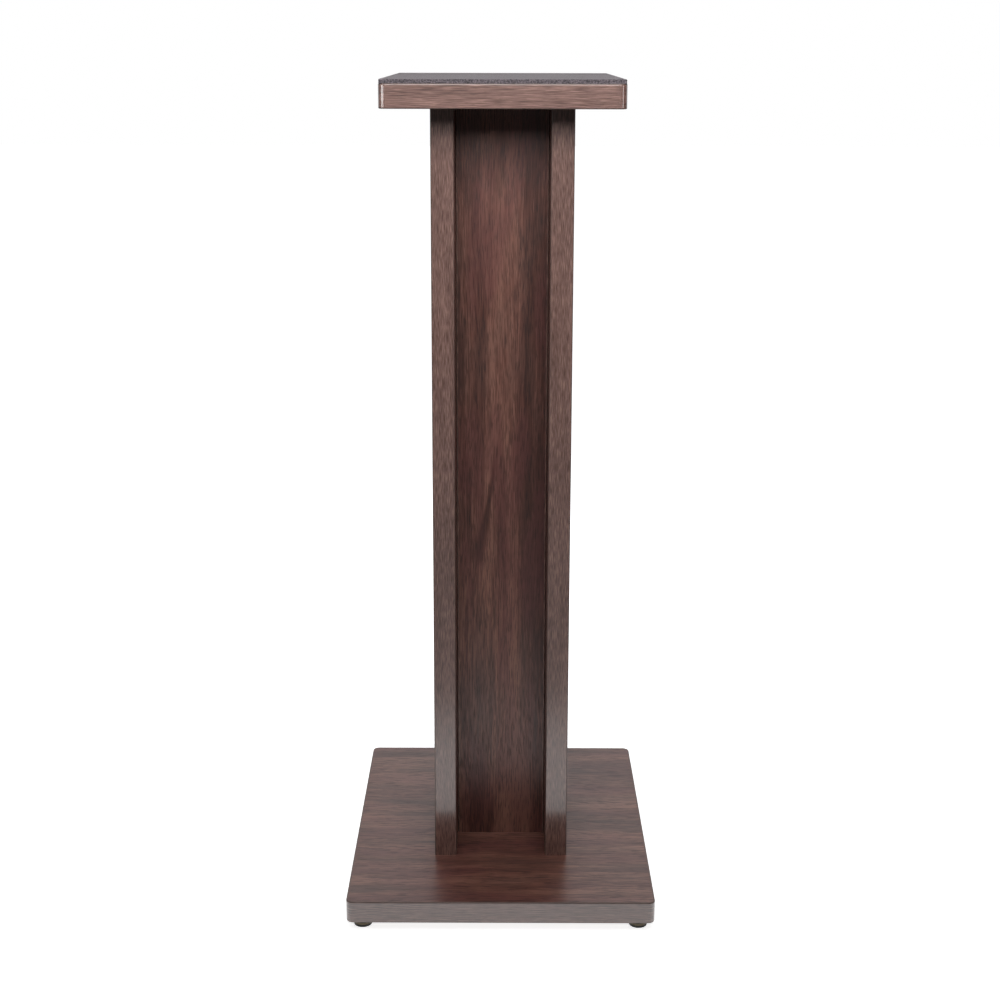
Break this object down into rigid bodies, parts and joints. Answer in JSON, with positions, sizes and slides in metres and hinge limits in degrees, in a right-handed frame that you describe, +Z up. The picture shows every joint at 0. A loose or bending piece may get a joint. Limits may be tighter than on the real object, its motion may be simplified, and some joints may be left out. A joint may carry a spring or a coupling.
{
  "type": "speaker stand",
  "caption": "Wood-grain floor stand for a loudspeaker: a base plate and a padded top plate joined by an H-shaped column with cable channels, on screw-adjusted levelling feet.",
  "frame": {"origin": "on the floor, under the middle of the stand, with the feet screwed in", "axes": "+Z up, +X to the right seen from the front, -Y towards the front"},
  "size_m": [0.34, 0.415, 0.9165],
  "materials": {
    "board": "satin",
    "edge_band": "satin",
    "foam": "matte",
    "zinc_steel": "satin",
    "black_steel": "satin",
    "dowel_wood": "matte",
    "foot_bronze": "satin",
    "foot_rubber": "matte"
  },
  "bodies": {
    "stand": {"base_plate": "board", "top_plate": "board", "left_side_panel": "board", "right_side_panel": "board", "centre_panel": "board", "base_plate_edge_band": "edge_band", "top_plate_edge_band": "edge_band", "left_side_panel_front_edge_band": "edge_band", "left_side_panel_rear_edge_band": "edge_band", "right_side_panel_front_edge_band": "edge_band", "right_side_panel_rear_edge_band": "edge_band", "centre_panel_left_edge_band": "edge_band", "centre_panel_right_edge_band": "edge_band", "top_pad": "foam", "base_joint_washers": "zinc_steel", "top_joint_washers": "zinc_steel", "base_panel_insert_nuts": "zinc_steel", "top_panel_insert_nuts": "zinc_steel", "foot_insert_nuts": "zinc_steel", "base_joint_bolts": "black_steel", "top_joint_bolts": "black_steel", "base_dowels": "dowel_wood", "top_dowels": "dowel_wood"},
    "front_left_foot": {"front_left_foot_cup": "foot_bronze", "front_left_foot_sole": "foot_rubber"},
    "front_left_stud": {"front_left_foot_stud": "zinc_steel"},
    "front_right_foot": {"front_right_foot_cup": "foot_bronze", "front_right_foot_sole": "foot_rubber"},
    "front_right_stud": {"front_right_foot_stud": "zinc_steel"},
    "rear_left_foot": {"rear_left_foot_cup": "foot_bronze", "rear_left_foot_sole": "foot_rubber"},
    "rear_left_stud": {"rear_left_foot_stud": "zinc_steel"},
    "rear_right_foot": {"rear_right_foot_cup": "foot_bronze", "rear_right_foot_sole": "foot_rubber"},
    "rear_right_stud": {"rear_right_foot_stud": "zinc_steel"}
  },
  "joints": [
    {"name": "front_left_foot_height", "type": "slide", "parent": "stand", "child": "front_left_foot", "axis": [0, 0, -1], "range_m": [0, 0.005]},
    {"name": "front_left_stud_turn", "type": "hinge", "parent": "front_left_foot", "child": "front_left_stud", "pos_m": [-0.1525, -0.189, 0.006], "axis": [0, 0, -1], "range_deg": [0, 1440]},
    {"name": "front_right_foot_height", "type": "slide", "parent": "stand", "child": "front_right_foot", "axis": [0, 0, -1], "range_m": [0, 0.005]},
    {"name": "front_right_stud_turn", "type": "hinge", "parent": "front_right_foot", "child": "front_right_stud", "pos_m": [0.1525, -0.189, 0.006], "axis": [0, 0, -1], "range_deg": [0, 1440]},
    {"name": "rear_left_foot_height", "type": "slide", "parent": "stand", "child": "rear_left_foot", "axis": [0, 0, -1], "range_m": [0, 0.005]},
    {"name": "rear_left_stud_turn", "type": "hinge", "parent": "rear_left_foot", "child": "rear_left_stud", "pos_m": [-0.1525, 0.189, 0.006], "axis": [0, 0, -1], "range_deg": [0, 1440]},
    {"name": "rear_right_foot_height", "type": "slide", "parent": "stand", "child": "rear_right_foot", "axis": [0, 0, -1], "range_m": [0, 0.005]},
    {"name": "rear_right_stud_turn", "type": "hinge", "parent": "rear_right_foot", "child": "rear_right_stud", "pos_m": [0.1525, 0.189, 0.006], "axis": [0, 0, -1], "range_deg": [0, 1440]}
  ],
  "couplings": [
    {"joint": "front_left_stud_turn", "follows": "front_left_foot_height", "rad_per_m": 5026.5},
    {"joint": "front_right_stud_turn", "follows": "front_right_foot_height", "rad_per_m": 5026.5},
    {"joint": "rear_left_stud_turn", "follows": "rear_left_foot_height", "rad_per_m": 5026.5},
    {"joint": "rear_right_stud_turn", "follows": "rear_right_foot_height", "rad_per_m": 5026.5}
  ]
}
